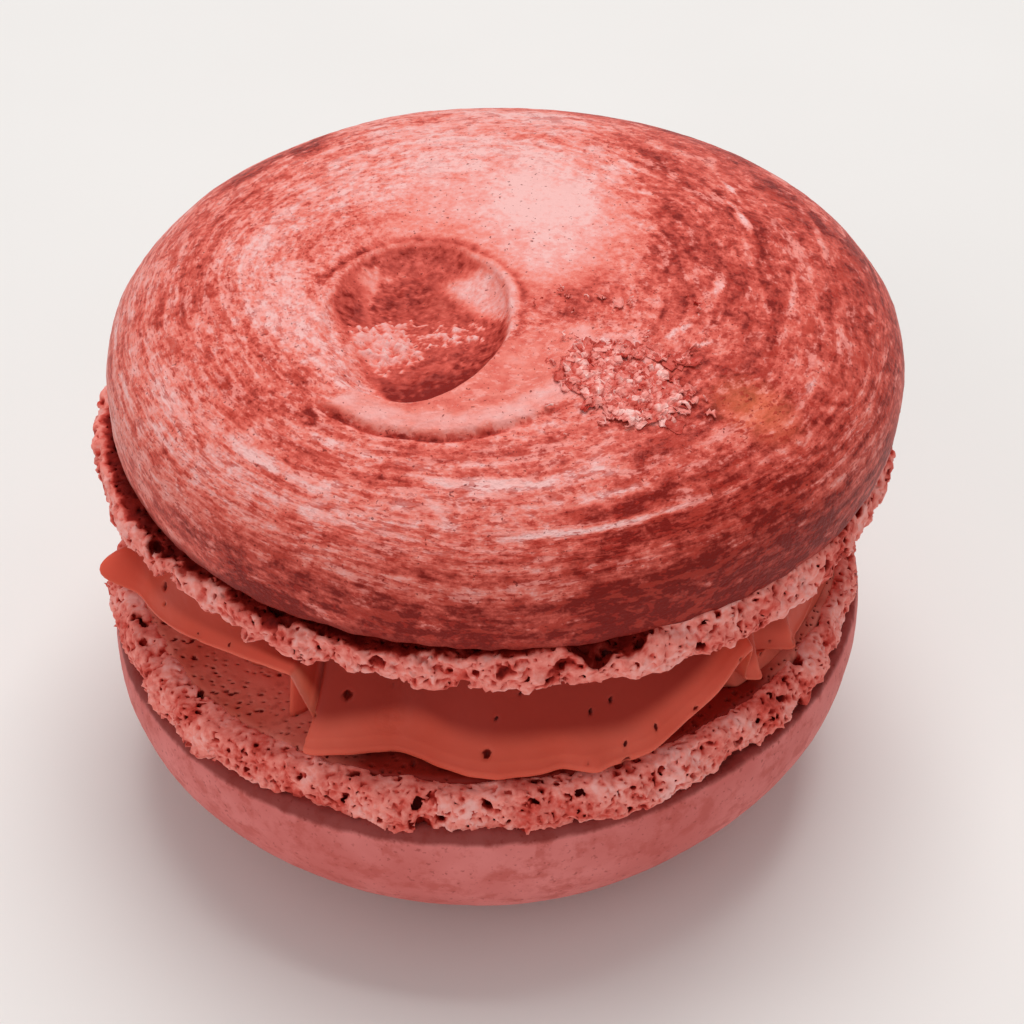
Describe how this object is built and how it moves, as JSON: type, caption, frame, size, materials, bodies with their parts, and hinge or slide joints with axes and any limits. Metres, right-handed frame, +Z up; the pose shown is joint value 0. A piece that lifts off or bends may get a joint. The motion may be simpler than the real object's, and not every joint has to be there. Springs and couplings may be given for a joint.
{
  "type": "french macaron",
  "caption": "Round french macaron: two baked shells with frothy feet, swirled crown and a piped filling between them.",
  "frame": {"origin": "under the middle of the biscuit's box, on the surface it rests on", "axes": "+Z up through both shells; -Y towards the side where the filling's wide lobe shows, +X to the right of it"},
  "size_m": [0.043, 0.0432, 0.0332],
  "materials": {
    "lower_shell": "baked almond meringue, matt, fine grained skin",
    "filling": "smooth piped ganache, satin",
    "upper_shell": "baked almond meringue swirled in two tones, satin crown"
  },
  "bodies": {
    "root": {"lower_shell": "lower_shell", "filling": "filling", "upper_shell": "upper_shell"}
  },
  "joints": []
}
